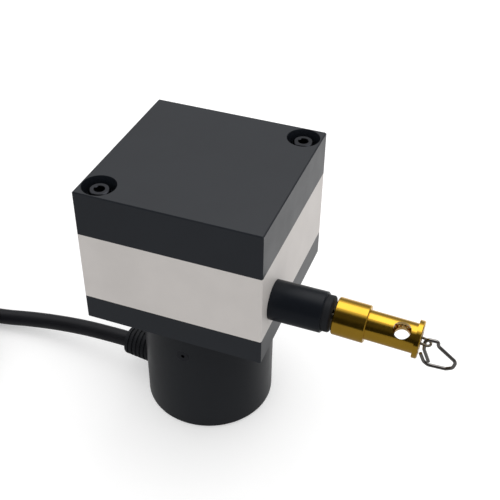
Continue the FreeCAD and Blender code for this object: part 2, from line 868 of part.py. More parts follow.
def make_cable():
    """The stretch from the boot to the coil."""
    edges, radii = rounded_path([V(*point) for point in cable_route])
    tube = rod_along(edges, cable_r)
    length = sum(edge.Length for edge in edges)
    filled = tube.Volume / (length * math.pi * cable_r**2)
    print("cable bend radii", [round(r, 1) for r in radii])
    print("cable length", round(length, 2), "volume ratio", round(filled, 4))
    return tube


def make_cable_coil():
    """Outer shape of the put-away turns, piled three, two and one. The top one stops short."""
    layers = []
    z0 = 0
    for layer in range(coil_low_turns):
        z1 = 2 * cable_r + layer * coil_layer_rise
        reach = (coil_low_turns - layer) * cable_r
        layers.append(ring(coil_turn_r + reach, coil_turn_r - reach, z0, z1))
        z0 = z1
    wedge = Part.makeCylinder(coil_turn_r + reach, z1, V(0, 0, 0), V(0, 0, 1), coil_gap_angle)
    wedge.rotate(V(0, 0, 0), V(0, 0, 1), coil_gap_start)
    coil = fused(layers[:-1] + [layers[-1].cut(wedge)])
    coil.translate(V(*coil_centre, 0))
    return coil


def make_cable_cores():
    """Bare cores at the cable's far end, in rows along the place of the turn that stops."""
    lean = math.degrees(math.asin(core_length / (2 * coil_turn_r)))
    ahead = polar(1, coil_gap_start + 90 + lean)
    side = polar(1, coil_gap_start + lean)
    level = 2 * cable_r + coil_layer_rise + core_r + wipe_gap
    start = V(*coil_centre, level) + polar(coil_turn_r, coil_gap_start) + ahead * core_r
    found = []
    for row, count in enumerate(core_rows):
        for i in range(count):
            across = side * ((i - (count - 1) / 2) * core_spacing)
            up = V(0, 0, row * core_spacing * math.sqrt(3) / 2)
            found.append(Part.makeCylinder(core_r, core_length, start + across + up, ahead))
    return found


def save(name, made):
    """One STEP file a node: a solid, or several separate solids of one kind."""
    solids = made if isinstance(made, list) else [made]
    for solid in solids:
        if not solid.isValid() or len(solid.Solids) != 1:
            print("check", name, "valid", solid.isValid(), "solids", len(solid.Solids))
    singles = [solid.Solids[0] for solid in solids]
    shape = singles[0] if len(singles) == 1 else Part.makeCompound(singles)
    shape.exportStep(os.path.join("parts", name + ".step"))


def main():
    os.makedirs("parts", exist_ok=True)
    save("base_plate", make_base_plate())
    save("middle_frame", make_middle_frame())
    save("top_cover", make_top_cover())
    save("cover_screws", make_cover_screws())
    save("spring_divider", make_spring_divider())
    save("power_spring", make_power_spring())
    save("cable_drum", make_cable_drum())
    save("drum_grub_screws", make_drum_grub_screws())
    save("wire_stop", make_wire_stop())
    save("wire_winding", make_wire_winding())
    save("main_shaft", make_main_shaft())
    save("top_bush", make_top_bush())
    save("retaining_ring", make_retaining_ring())
    save("bearing_outer_races", make_bearing_outer_races())
    save("bearing_inner_races", make_bearing_inner_races())
    save("bearing_balls", make_bearing_balls())
    save("wire_nozzle", make_wire_nozzle())
    save("wiper_felt", make_wiper_felt())
    save("guide_eyelet", make_guide_eyelet())
    save("nozzle_buffer", make_nozzle_buffer())
    save("draw_wire", make_draw_wire())
    save("end_ferrule", make_end_ferrule())
    save("wire_crimp", make_wire_crimp())
    save("eye_crimp", make_eye_crimp())
    save("rope_eye", make_rope_eye())
    save("snap_clip", make_snap_clip())
    save("encoder_flange", make_encoder_flange())
    save("encoder_can", make_encoder_can())
    save("can_seal", make_can_seal())
    save("can_screws", make_can_screws())
    save("encoder_screws", make_encoder_screws())
    save("disc_hub", make_disc_hub())
    save("hub_grub_screw", make_hub_grub_screw())
    save("code_disc", make_code_disc())
    save("circuit_board", make_circuit_board())
    save("board_pillars", make_board_pillars())
    save("board_screws", make_board_screws())
    save("reader_chip", make_reader_chip())
    save("light_bridge", make_light_bridge())
    save("board_plug", make_board_plug())
    save("inner_leads", make_inner_leads())
    save("cable_boot", make_cable_boot())
    save("cable", make_cable())
    save("cable_coil", make_cable_coil())
    save("cable_cores", make_cable_cores())


main()
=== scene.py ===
"""Studio picture of a miniature draw wire encoder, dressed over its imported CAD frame. Metres."""

import json
import math

import bmesh
import bpy
from mathutils import Matrix, Vector


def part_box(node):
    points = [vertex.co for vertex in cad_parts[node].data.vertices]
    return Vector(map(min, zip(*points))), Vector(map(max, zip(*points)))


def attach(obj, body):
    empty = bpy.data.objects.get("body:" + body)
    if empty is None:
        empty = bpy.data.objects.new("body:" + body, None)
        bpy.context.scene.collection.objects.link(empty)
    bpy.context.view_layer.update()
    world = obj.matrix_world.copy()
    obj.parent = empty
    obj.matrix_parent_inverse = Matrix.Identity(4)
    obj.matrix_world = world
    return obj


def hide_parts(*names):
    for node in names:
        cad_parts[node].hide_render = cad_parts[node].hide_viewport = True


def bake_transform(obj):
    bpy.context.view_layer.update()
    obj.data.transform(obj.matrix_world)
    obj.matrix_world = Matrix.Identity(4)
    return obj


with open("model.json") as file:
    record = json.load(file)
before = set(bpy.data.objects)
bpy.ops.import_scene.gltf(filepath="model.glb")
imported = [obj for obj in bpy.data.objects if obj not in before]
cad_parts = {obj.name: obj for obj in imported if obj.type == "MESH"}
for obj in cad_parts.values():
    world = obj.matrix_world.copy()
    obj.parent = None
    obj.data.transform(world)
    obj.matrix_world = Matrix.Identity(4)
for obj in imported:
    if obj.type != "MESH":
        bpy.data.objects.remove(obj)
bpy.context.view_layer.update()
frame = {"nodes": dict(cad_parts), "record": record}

mm = 0.001
nodes = frame["nodes"]

# Camera, solved from the box's corners
camera_place = Vector((77.6, -177.12, 205.81)) * mm
camera_ahead = Vector((-0.26993, 0.73475, -0.62231))
camera_up = Vector((-0.2273, 0.57942, 0.7827))
camera_lens = 64.03
camera_sensor = 36.0

# Draw wire's line, read from the frame, and the ferrule, which hangs a little on it
nozzle_low, nozzle_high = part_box("wire_nozzle")
wire_y = (nozzle_low.y + nozzle_high.y) / 2
wire_z = (nozzle_low.z + nozzle_high.z) / 2
ferrule_mouth = Vector((41.4, wire_y / mm, wire_z / mm))
ferrule_droop = math.radians(2.5)

# Cap screws
head_r = 2.75
head_height = 3.0

# Cable, whose points are the CAD route's
cable_r = 2.5 * mm
cable_route = [
    (-27.6, 0.0, 8.0), (-36.5, 0.0, 8.0), (-48.0, 0.9, 6.3), (-62.0, 0.7, 4.3),
    (-76.0, -1.7, 3.1), (-86.0, -1.5, 2.6), (-96.0, -0.9, 2.5),
]
coil_centre = Vector((-96.0, -29.4, 0.0))
coil_levels = [2.5 + layer * 2.5 * math.sqrt(3) for layer in range(3)]
coil_stations = [
    (90.0, 28.5, 0), (360.0, 28.5, 0), (425.0, 23.5, 0), (720.0, 23.5, 0), (785.0, 18.5, 0),
    (1025.0, 18.5, 0), (1085.0, 21.0, 1), (1370.0, 21.0, 1), (1435.0, 26.0, 1), (1695.0, 26.0, 1),
    (1750.0, 25.0, 2), (1795.0, 23.5, 2), (2015.0, 23.5, 2),
]
coil_step = 10.0
crossing_angle = 32.0
crossing_half = 30.0
crossing_rise = 0.67
core_r = 0.45
core_spacing = 0.95
core_rows = (3, 2)
core_length = 15.0
core_bare = 4.0
core_lift = 0.05
core_colours = [
    (0.75, 0.75, 0.72), (0.16, 0.06, 0.03), (0.03, 0.2, 0.06), (0.75, 0.55, 0.03), (0.2, 0.2, 0.21),
]


def hang(point):
    """A point on the straight ferrule, moved to where the ferrule hangs."""
    return ferrule_mouth + Matrix.Rotation(ferrule_droop, 3, "Y") @ (point - ferrule_mouth)


def smooth(t):
    """Share from 0 to 1 with a gentle start and end."""
    t = min(1.0, max(0.0, t))
    return t * t * (3 - 2 * t)


def new_mesh(name, verts, faces, smooth_faces=True):
    """Mesh object with its faces turned outward."""
    mesh = bpy.data.meshes.new(name)
    mesh.from_pydata([tuple(v) for v in verts], [], faces)
    mesh.update()
    obj = bpy.data.objects.new(name, mesh)
    bpy.context.scene.collection.objects.link(obj)
    bm = bmesh.new()
    bm.from_mesh(mesh)
    bmesh.ops.recalc_face_normals(bm, faces=bm.faces)
    bm.to_mesh(mesh)
    bm.free()
    for face in mesh.polygons:
        face.use_smooth = smooth_faces
    return obj


def sharpen(obj, degrees=35.0):
    """Smooth shading that keeps the edges steeper than an angle."""
    obj.data.set_sharp_from_angle(angle=math.radians(degrees))


def tube(name, points, radii, sides=16):
    """Closed round tube along points, with a radius at each."""
    verts, faces = [], []
    count = len(points)
    turn_from = None
    for i, point in enumerate(points):
        ahead = (points[min(i + 1, count - 1)] - points[max(i - 1, 0)]).normalized()
        if turn_from is None:
            across = ahead.orthogonal().normalized()
        else:
            across = (turn_from - ahead * turn_from.dot(ahead)).normalized()
        turn_from = across
        up = ahead.cross(across)
        for k in range(sides):
            a = 2 * math.pi * k / sides
            verts.append(point + (across * math.cos(a) + up * math.sin(a)) * radii[i])
    for i in range(count - 1):
        for k in range(sides):
            n = (k + 1) % sides
            faces.append((i * sides + k, i * sides + n, (i + 1) * sides + n, (i + 1) * sides + k))
    faces.append(tuple(range(sides)))
    faces.append(tuple((count - 1) * sides + k for k in range(sides)))
    return new_mesh(name, verts, faces)


def turned(name, profile, origin, axis, sides=96):
    """Closed solid turned about an axis from (distance along it, radius) points, first and last joined."""
    side = axis.orthogonal().normalized()
    up = axis.cross(side)
    verts, faces = [], []
    for k in range(sides):
        a = 2 * math.pi * k / sides
        out = side * math.cos(a) + up * math.sin(a)
        for along, r in profile:
            verts.append(origin + axis * along + out * r)
    n = len(profile)
    for k in range(sides):
        for i in range(n):
            j, m = (i + 1) % n, (k + 1) % sides
            faces.append((k * n + i, k * n + j, m * n + j, m * n + i))
    return new_mesh(name, verts, faces)


def join(name, parts):
    """Several meshes as one piece."""
    bm = bmesh.new()
    for part in parts:
        bm.from_mesh(part.data)
        bpy.data.objects.remove(part)
    mesh = bpy.data.meshes.new(name)
    bm.to_mesh(mesh)
    bm.free()
    obj = bpy.data.objects.new(name, mesh)
    bpy.context.scene.collection.objects.link(obj)
    return obj


def dress(obj, material, body, slot, *replaced):
    """Gives a piece its material and body, and hides the CAD nodes that it stands for."""
    if material:
        obj.data.materials.clear()
        obj.data.materials.append(material)
    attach(obj, body)
    if replaced:
        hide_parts(*replaced)
    return obj


# Materials


class Graph:
    """Short way to write a material's nodes."""

    def __init__(self, name):
        self.material = bpy.data.materials.new(name)
        self.material.use_nodes = True
        self.tree = self.material.node_tree
        self.shader = self.tree.nodes["Principled BSDF"]
        self.place = self.add("ShaderNodeTexCoord").outputs["Object"]

    def add(self, kind, **values):
        node = self.tree.nodes.new(kind)
        for key, value in values.items():
            setattr(node, key, value)
        return node

    def link(self, output, target):
        self.tree.links.new(output, target)

    def set(self, **values):
        for key, value in values.items():
            self.shader.inputs[key.replace("_", " ")].default_value = value

    def scaled(self, scale):
        node = self.add("ShaderNodeMapping")
        node.inputs["Scale"].default_value = scale
        self.link(self.place, node.inputs["Vector"])
        return node.outputs["Vector"]

    def noise(self, scale, detail=3.0, vector=None, rough=0.5):
        node = self.add("ShaderNodeTexNoise")
        node.inputs["Scale"].default_value = scale
        node.inputs["Detail"].default_value = detail
        node.inputs["Roughness"].default_value = rough
        self.link(vector or self.place, node.inputs["Vector"])
        return node.outputs["Fac"]

    def ramp(self, value, low, high, out_low=0.0, out_high=1.0):
        node = self.add("ShaderNodeMapRange")
        numbers = (("From Min", low), ("From Max", high), ("To Min", out_low), ("To Max", out_high))
        for key, number in numbers:
            node.inputs[key].default_value = number
        self.link(value, node.inputs["Value"])
        return node.outputs["Result"]

    def maths(self, operation, a, b):
        node = self.add("ShaderNodeMath", operation=operation)
        for socket, value in zip(node.inputs, (a, b)):
            if isinstance(value, (int, float)):
                socket.default_value = value
            else:
                self.link(value, socket)
        return node.outputs["Value"]

    def mixed(self, factor, a, b):
        """Blend of two colours, each a tuple or a socket."""
        node = self.add("ShaderNodeMix", data_type="RGBA")
        self.link(factor, node.inputs[0])
        for socket, value in ((node.inputs[6], a), (node.inputs[7], b)):
            if isinstance(value, tuple):
                socket.default_value = (*value, 1.0)
            else:
                self.link(value, socket)
        return node.outputs[2]

    def bump(self, height, distance, strength=1.0):
        node = self.add("ShaderNodeBump")
        node.inputs["Distance"].default_value = distance
        node.inputs["Strength"].default_value = strength
        self.link(height, node.inputs["Height"])
        self.link(node.outputs["Normal"], self.shader.inputs["Normal"])

    def colour(self, output):
        self.link(output, self.shader.inputs["Base Color"])

    def roughness(self, output):
        self.link(output, self.shader.inputs["Roughness"])


def varied(g, colour, amount, scale):
    """Colour that drifts a little over the surface."""
    dark = tuple(c * (1 - amount) for c in colour)
    light = tuple(min(1.0, c * (1 + amount)) for c in colour)
    return g.mixed(g.ramp(g.noise(scale, 4.0), 0.35, 0.65), dark, light)


def anodised(name, colour, roughness, metallic, specular=0.5, grain=9000.0, depth=0.6e-6):
    """Bead-blasted and anodised aluminium: fine grain, slow cloudiness and a little wiped sheen."""
    g = Graph(name)
    g.set(Metallic=metallic, Specular_IOR_Level=specular)
    g.colour(varied(g, colour, 0.035, 60.0))
    g.roughness(g.ramp(g.noise(140.0, 5.0), 0.3, 0.7, roughness - 0.025, roughness + 0.025))
    g.bump(g.noise(grain, 2.0), depth)
    return g.material


def turned_metal(name, colour, roughness, axis_scale, spacing, metallic=1.0, depth=0.8e-6, specular=0.5):
    """Lathe-turned metal: fine rings along the given axis over a slow drift."""
    g = Graph(name)
    g.set(Metallic=metallic, Specular_IOR_Level=specular)
    g.colour(varied(g, colour, 0.06, 120.0))
    rings = g.noise(1.0 / spacing, 3.0, g.scaled(axis_scale), 0.7)
    g.roughness(g.ramp(rings, 0.3, 0.7, roughness - 0.04, roughness + 0.05))
    g.bump(rings, depth)
    return g.material


def plain_soft(name, colour, roughness, scale, depth, specular=0.4):
    """Rubber, jacket or moulded plastic: fine texture with slow colour drift."""
    g = Graph(name)
    g.set(Specular_IOR_Level=specular)
    g.colour(varied(g, colour, 0.12, 90.0))
    g.roughness(g.ramp(g.noise(scale / 8, 4.0), 0.3, 0.7, roughness - 0.05, roughness + 0.05))
    g.bump(g.noise(scale, 3.0), depth)
    return g.material


def make_materials():
    """One material for each slot, by its name."""
    along_x, along_z = (1.0, 0.02, 0.02), (0.02, 0.02, 1.0)
    return {
        "black_anodised": anodised("black_anodised", (0.012, 0.0145, 0.0195), 0.36, 0.0, 0.4),
        "silver_anodised": anodised("silver_anodised", (0.69, 0.655, 0.63), 0.5, 0.25, 0.4),
        "gold_anodised": turned_metal(
            "gold_anodised", (0.68, 0.40, 0.045), 0.17, along_x, 0.00007, 1.0, 0.12e-6,
        ),
        "turned_aluminium": turned_metal("turned_aluminium", (0.55, 0.55, 0.56), 0.32, along_z, 0.0002),
        "screw_steel": turned_metal("screw_steel", (0.045, 0.047, 0.054), 0.16, along_z, 0.0003),
        "bearing_steel": turned_metal("bearing_steel", (0.68, 0.68, 0.7), 0.15, along_z, 0.0002),
        "spring_steel": turned_metal("spring_steel", (0.2, 0.24, 0.34), 0.28, along_z, 0.0004),
        "rope_steel": turned_metal("rope_steel", (0.30, 0.26, 0.2), 0.3, along_x, 0.0002),
        "clip_steel": turned_metal("clip_steel", (0.30, 0.285, 0.27), 0.12, along_x, 0.0004, 1.0, 0.2e-6),
        "bush_bronze": anodised("bush_bronze", (0.5, 0.3, 0.12), 0.45, 1.0, 0.5, 5000.0, 4e-6),
        "hub_brass": turned_metal("hub_brass", (0.66, 0.47, 0.18), 0.25, along_z, 0.0002),
        "nozzle_black": turned_metal(
            "nozzle_black", (0.006, 0.008, 0.012), 0.34, along_x, 0.0002, 0.0, 0.5e-6, 0.2,
        ),
        "rubber_black": plain_soft("rubber_black", (0.009, 0.010, 0.013), 0.62, 3000.0, 6e-6, 0.3),
        "felt_white": plain_soft("felt_white", (0.7, 0.68, 0.62), 0.9, 6000.0, 60e-6, 0.1),
        "guide_ceramic": plain_soft("guide_ceramic", (0.8, 0.78, 0.72), 0.2, 4000.0, 0.4e-6, 0.5),
        "can_black": anodised("can_black", (0.010, 0.0115, 0.0145), 0.34, 0.0, 0.25, 7000.0, 1e-6),
        "disc_glass": disc_glass(),
        "board_green": board_green(),
        "chip_black": plain_soft("chip_black", (0.018, 0.018, 0.018), 0.5, 9000.0, 3e-6),
        "plug_white": plain_soft("plug_white", (0.75, 0.72, 0.62), 0.4, 5000.0, 2e-6),
        "jacket_black": plain_soft("jacket_black", (0.010, 0.010, 0.013), 0.45, 2500.0, 3e-6, 0.25),
        "core_colours": plain_soft("core_colours", (0.45, 0.3, 0.26), 0.4, 5000.0, 1e-6),
    }


def disc_glass():
    """Glass code disc with a chromed ring of fine radial marks."""
    g = Graph("disc_glass")
    g.set(Metallic=0.0, Roughness=0.08, IOR=1.5)
    gradient = g.add("ShaderNodeTexGradient", gradient_type="RADIAL")
    g.link(g.place, gradient.inputs["Vector"])
    marks = g.maths("FRACT", g.maths("MULTIPLY", gradient.outputs["Fac"], 180.0), 0.0)
    line = g.maths("GREATER_THAN", marks, 0.5)
    g.colour(g.mixed(line, (0.55, 0.6, 0.62), (0.12, 0.12, 0.13)))
    g.bump(g.noise(4000.0), 0.3e-6)
    return g.material


def board_green():
    """Solder mask over copper tracks on woven glass."""
    g = Graph("board_green")
    g.set(Roughness=0.35)
    cells = g.add("ShaderNodeTexBrick")
    cells.inputs["Scale"].default_value = 260.0
    cells.inputs["Mortar Size"].default_value = 0.035
    g.link(g.place, cells.inputs["Vector"])
    tracks = g.mixed(cells.outputs["Fac"], (0.012, 0.12, 0.045), (0.03, 0.2, 0.07))
    g.colour(tracks)
    g.bump(g.noise(3500.0, 4.0), 5e-6)
    return g.material


# Pieces


def make_camera():
    """Camera at the photograph's place and angle."""
    data = bpy.data.cameras.new("camera")
    data.lens = camera_lens
    data.sensor_width = camera_sensor
    camera = bpy.data.objects.new("camera", data)
    right = camera_ahead.cross(camera_up).normalized()
    up = right.cross(camera_ahead).normalized()
    turn = Matrix((right, up, -camera_ahead.normalized())).transposed()
    camera.matrix_world = Matrix.Translation(camera_place) @ turn.to_4x4()
    bpy.context.scene.collection.objects.link(camera)
    bpy.context.scene.camera = camera


def coil_point(angle):
    """Place on the put-away coil at a running angle, with a low hump where turns cross."""
    for (a0, r0, layer0), (a1, r1, layer1) in zip(coil_stations, coil_stations[1:]):
        if angle <= a1:
            break
    t = smooth((angle - a0) / (a1 - a0))
    r = r0 + (r1 - r0) * t
    z = coil_levels[layer0] + (coil_levels[layer1] - coil_levels[layer0]) * t
    off = (angle - crossing_angle + 180.0) % 360.0 - 180.0
    if layer0 and abs(off) < crossing_half:
        z += layer0 * crossing_rise * math.cos(math.radians(off * 90.0 / crossing_half))
    a = math.radians(angle)
    return coil_centre + Vector((r * math.cos(a), r * math.sin(a), z))


def make_cable(materials):
    """Signal cable as one smooth spline, from its route into the turns of the coil."""
    points = [Vector(p) for p in cable_route]
    angle, last = coil_stations[0][0] + coil_step, coil_stations[-1][0]
    while angle < last:
        points.append(coil_point(angle))
        angle += coil_step
    points.append(coil_point(last))
    data = bpy.data.curves.new("signal_cable", "CURVE")
    data.dimensions = "3D"
    spline = data.splines.new("NURBS")
    spline.points.add(len(points) - 1)
    for target, point in zip(spline.points, points):
        target.co = (*(point * mm), 1.0)
    spline.order_u = 3
    spline.use_endpoint_u = True
    spline.resolution_u = 6
    data.bevel_depth = cable_r
    data.bevel_resolution = 5
    data.use_fill_caps = True
    cable = bpy.data.objects.new("signal_cable", data)
    bpy.context.scene.collection.objects.link(cable)
    dress(cable, materials["jacket_black"], "housing", "jacket_black", "cable", "cable_coil")
    cores = make_cores()


def make_cores():
    """Five coloured cores at the far end, each with a tinned tip."""
    last, turn_r, layer = coil_stations[-1]
    lean = math.degrees(math.asin(core_length / (2 * turn_r)))
    heading, across = math.radians(last + 90 + lean), math.radians(last + lean)
    ahead = Vector((math.cos(heading), math.sin(heading), 0.0))
    side = Vector((math.cos(across), math.sin(across), 0.0))
    a = math.radians(last)
    rest_z = coil_levels[layer - 1] + cable_r / mm + core_lift + core_r
    root = coil_centre + Vector((turn_r * math.cos(a), turn_r * math.sin(a), rest_z))
    colours = iter(core_colours)
    made = []
    for row, count in enumerate(core_rows):
        for i in range(count):
            start = root + side * ((i - (count - 1) / 2) * core_spacing)
            start += Vector((0, 0, row * core_spacing * math.sqrt(3) / 2)) + ahead * core_r
            colour = next(colours)
            number = len(made) // 2 + 1
            split = core_length - core_bare
            line = [start, start + ahead * split * 0.5, start + ahead * split]
            core = tube(f"core_{number}", [p * mm for p in line], [core_r * mm] * 3, 14)
            sharpen(core)
            skin = plain_soft(f"core_{number}_skin", colour, 0.4, 5000.0, 1e-6)
            dress(core, skin, "housing", "core_colours", "cable_cores")
            tip_line = [start + ahead * (split - 1.0), start + ahead * core_length]
            tip = strands(f"core_tip_{number}", [p * mm for p in tip_line], 0.3 * mm, 5, 0.9 * mm)
            dress(tip, tinned(), "housing", "core_colours", "cable_cores")
            made += [core, tip]
    return made


def tinned():
    """Tinned copper, made once."""
    material = bpy.data.materials.get("tinned_copper")
    return material or turned_metal("tinned_copper", (0.5, 0.5, 0.5), 0.35, (1, 1, 1), 0.0003)


def strands(name, line, radius, count, twist):
    """Straight bundle of strands twisted round a line."""
    start, end = line
    length = (end - start).length
    ahead = (end - start).normalized()
    side = ahead.orthogonal().normalized()
    up = ahead.cross(side)
    steps = 24
    parts = []
    for k in range(count):
        points = []
        for i in range(steps + 1):
            s = length * i / steps
            a = 2 * math.pi * (s / (twist * 4) + k / count)
            points.append(start + ahead * s + (side * math.cos(a) + up * math.sin(a)) * radius * 0.6)
        parts.append(tube(f"{name}_{k}", points, [radius * 0.42] * len(points), 8))
    return join(name, parts)


def make_ferrule_thread(materials):
    """Thread in the ferrule's tapped bore, left out where the cross hole cuts the wall."""
    bore_r, crest_r, pitch = 2.4, 2.0, 0.8
    first, last = 55.3, 60.55
    hole_x, hole_r, lean = 58.3, 2.3, math.radians(29.5)
    hole_axis = Vector((0.0, -math.sin(lean), math.cos(lean)))
    line = Vector((0.0, wire_y / mm, wire_z / mm))
    step = 7.5
    turns = (last - first) / pitch
    runs, run = [], []
    for i in range(int(turns * 360.0 / step) + 1):
        a = math.radians(i * step)
        x = first + pitch * i * step / 360.0
        out = Vector((0.0, math.cos(a), math.sin(a)))
        wall = line + Vector((x, 0, 0)) + out * bore_r
        off = wall - line - Vector((hole_x, 0, 0))
        if (off - hole_axis * off.dot(hole_axis)).length > hole_r:
            run.append((wall, out))
        elif run:
            runs.append(run)
            run = []
    if run:
        runs.append(run)
    parts = []
    for number, run in enumerate(r for r in runs if len(r) > 1):
        verts, faces = [], []
        for wall, out in run:
            ahead = Vector((pitch / 2, 0, 0))
            verts += [wall - ahead, wall - out * (bore_r - crest_r), wall + ahead, wall + out * 0.1]
        for i in range(len(run) - 1):
            for k in range(4):
                n = (k + 1) % 4
                faces.append((i * 4 + k, i * 4 + n, i * 4 + 4 + n, i * 4 + 4 + k))
        end = len(verts) - 4
        faces += [(0, 1, 2, 3), (end, end + 1, end + 2, end + 3)]
        parts.append(new_mesh(f"thread_{number}", [hang(v) * mm for v in verts], faces, False))
    thread = join("ferrule_thread", parts)
    dress(thread, materials["gold_anodised"], "wire_end", "gold_anodised")


def make_rope_eye(materials):
    """Loop of twisted strands out of the ferrule's end."""
    rope_r, eye_r, droop = 0.35, 1.05, math.radians(10.0)
    root = hang(Vector((62.2, wire_y / mm, wire_z / mm)))
    ahead = Vector((math.cos(droop), 0.0, -math.sin(droop)))
    centre = root + ahead * 2.4
    side = Vector((0.0, 1.0, 0.0))
    line = []
    for i in range(13):
        line.append(root + (centre - root) * (i / 12) + side * eye_r)
    for i in range(1, 24):
        a = math.pi * i / 24
        line.append(centre + side * (eye_r * math.cos(a)) + ahead * (eye_r * math.sin(a)))
    for i in range(13):
        line.append(centre + (root - centre) * (i / 12) - side * eye_r)
    parts = []
    count, lay = 6, 2.6
    for k in range(count + 1):
        points, run = [], 0.0
        for i, point in enumerate(line):
            if i:
                run += (point - line[i - 1]).length
            along = (line[min(i + 1, len(line) - 1)] - line[max(i - 1, 0)]).normalized()
            up = Vector((math.sin(droop), 0.0, math.cos(droop)))
            across = along.cross(up)
            a = 2 * math.pi * (run / lay + k / count)
            away = 0.0 if k == count else rope_r * 0.64
            points.append((point + (across * math.cos(a) + up * math.sin(a)) * away) * mm)
        parts.append(tube(f"strand_{k}", points, [rope_r * 0.35 * mm] * len(points), 8))
    eye = join("rope_loop", parts)
    dress(eye, materials["rope_steel"], "wire_end", "rope_steel", "rope_eye")


def make_draw_wire(materials):
    """Free wire from the drum to the ferrule."""
    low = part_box("draw_wire")[0]
    wire_r, eyelet_x, nozzle_end_x, crimp_end_x = 0.25, 27.7, 38.4, 55.1
    stretch_start, stretch_end = 0.0385, 0.0412
    stations = [
        Vector((0.0, wire_y / mm, low.z / mm + wire_r)),
        Vector((eyelet_x, wire_y / mm, wire_z / mm)),
        Vector((nozzle_end_x, wire_y / mm, wire_z / mm)),
        ferrule_mouth,
        hang(Vector((crimp_end_x, wire_y / mm, wire_z / mm))),
    ]
    points = [stations[0]]
    for start, end, count in zip(stations, stations[1:], (18, 12, 16, 8)):
        points += [start.lerp(end, i / count) for i in range(1, count + 1)]
    wire = tube("draw_wire_free", [p * mm for p in points], [wire_r * mm] * len(points), 16)
    sharpen(wire, 50.0)
    wire.data.materials.append(wire_lay_groove_shade())
    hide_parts("draw_wire")
    start, end = (stretch_start, wire_y, wire_z), (stretch_end, wire_y, wire_z)
    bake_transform(wire)


def wire_lay_groove_shade():
    """Twisted fine strands, drawn round and along the wire, with painted shade in the grooves between them.
    """
    g = Graph("wire_lay_groove_shade")
    g.set(Metallic=1.0, Roughness=0.32)
    apart = g.add("ShaderNodeSeparateXYZ")
    g.link(g.place, apart.inputs["Vector"])
    y = g.maths("SUBTRACT", apart.outputs["Y"], wire_y)
    z = g.maths("SUBTRACT", apart.outputs["Z"], wire_z)
    around = g.maths("MULTIPLY", g.maths("ARCTAN2", z, y), 7.0)
    along = g.maths("MULTIPLY", apart.outputs["X"], 4400.0)
    wave = g.maths("SINE", g.maths("ADD", around, along), 0.0)
    # The colour goes near black in the grooves between strands: painted shade.
    g.colour(g.mixed(g.ramp(wave, -0.8, 0.2), (0.05, 0.045, 0.04), (0.46, 0.42, 0.36)))
    g.bump(wave, 30e-6)
    return g.material


def knurled_head(name, at, seat):
    """Socket head with a straight knurl, a broken top edge and a chamfered hexagon."""
    hexagon, edge, teeth = 2.5, 0.38, 48
    centre = Vector((at[0], at[1], 0.0))
    levels = [
        (seat, 0.0, -0.12), (seat + 0.12, 0.0, 0.0), (seat + 0.45, 0.05, 0.0),
        (seat + head_height - 0.55, 0.05, 0.0), (seat + head_height - edge, 0.0, 0.0),
        (seat + head_height - edge * 0.3, 0.0, -edge * 0.5), (seat + head_height, 0.0, -edge),
    ]
    count = teeth * 4
    rings = []
    for z, knurl, offset in levels:
        ring = []
        for k in range(count):
            a = 2 * math.pi * k / count
            r = head_r + offset - knurl * (0.5 - 0.5 * math.cos(a * teeth)) * 2
            ring.append(centre + Vector((r * math.cos(a), r * math.sin(a), z)))
        rings.append(ring)
    top = seat + head_height
    for depth, extra in ((0.0, 0.22), (0.2, 0.0), (head_height / 2, 0.0)):
        ring = []
        for k in range(count):
            a = 2 * math.pi * k / count
            flat = (a % (math.pi / 3)) - math.pi / 6
            r = (hexagon / 2) / math.cos(flat)
            if extra:
                r = max(r, hexagon / math.sqrt(3)) + 0.02
            ring.append(centre + Vector((r * math.cos(a), r * math.sin(a), top - depth)))
        rings.append(ring)
    verts = [v * mm for ring in rings for v in ring]
    faces = []
    for i in range(len(rings) - 1):
        for k in range(count):
            n = (k + 1) % count
            faces.append((i * count + k, i * count + n, (i + 1) * count + n, (i + 1) * count + k))
    faces.append(tuple(range(count)))
    faces.append(tuple((len(rings) - 1) * count + k for k in range(count)))
    head = new_mesh(name, verts, faces)
    sharpen(head, 25.0)
    return head


def make_cover_screws(materials):
    """Two long cap screws with knurled heads, in the cover's counterbores."""
    low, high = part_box("cover_screws")
    seat = high.z / mm - head_height
    corner = high.x / mm - head_r
    parts = []
    for number, sign in enumerate((-1, 1)):
        at = (sign * corner, sign * corner)
        parts.append(knurled_head(f"head_{number}", at, seat))
        foot = Vector((at[0], at[1], low.z / mm))
        top = Vector((at[0], at[1], seat + 0.01))
        tip = foot + Vector((0, 0, 0.5))
        line = [p * mm for p in (foot, tip, top)]
        parts.append(tube(f"shank_{number}", line, [1.2 * mm, 1.5 * mm, 1.5 * mm], 40))
    screws = join("cap_screws", parts)
    sharpen(screws, 25.0)
    dress(screws, materials["screw_steel"], "housing", "screw_steel", "cover_screws")


def make_boot(materials):
    """Strain relief with grip rings round its taper, over the CAD boot's collar and neck."""
    low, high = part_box("cable_boot")
    axis = Vector((-1.0, 0.0, 0.0))
    origin = Vector((0.0, 0.0, cable_route[0][2])) * mm
    root, end = 19.06, -low.x / mm
    start_r, end_r = 5.0, 4.2
    inner = -high.x / mm
    profile = [(inner, 0.0), (inner, 5.2), (inner + 1.5, 5.2), (inner + 1.5, 3.9), (root, 3.9)]
    rings = 5
    span = (end - root) / (rings + 1)
    profile += [(root, start_r - 0.1), (root + 0.15, start_r)]
    for i in range(rings):
        x = root + span * (i + 0.75)
        r = start_r + (end_r - start_r) * (x - root) / (end - root)
        profile += [(x, r), (x + 0.12, r - 0.3), (x + 0.5, r - 0.36), (x + 0.62, r - 0.04)]
    profile += [(end - 0.3, end_r), (end - 0.08, end_r - 0.12), (end, end_r - 0.35), (end, 0.0)]
    boot = turned("boot", [(x * mm, r * mm) for x, r in profile], origin, axis, 72)
    sharpen(boot, 40.0)
    dress(boot, materials["rubber_black"], "housing", "rubber_black", "cable_boot")


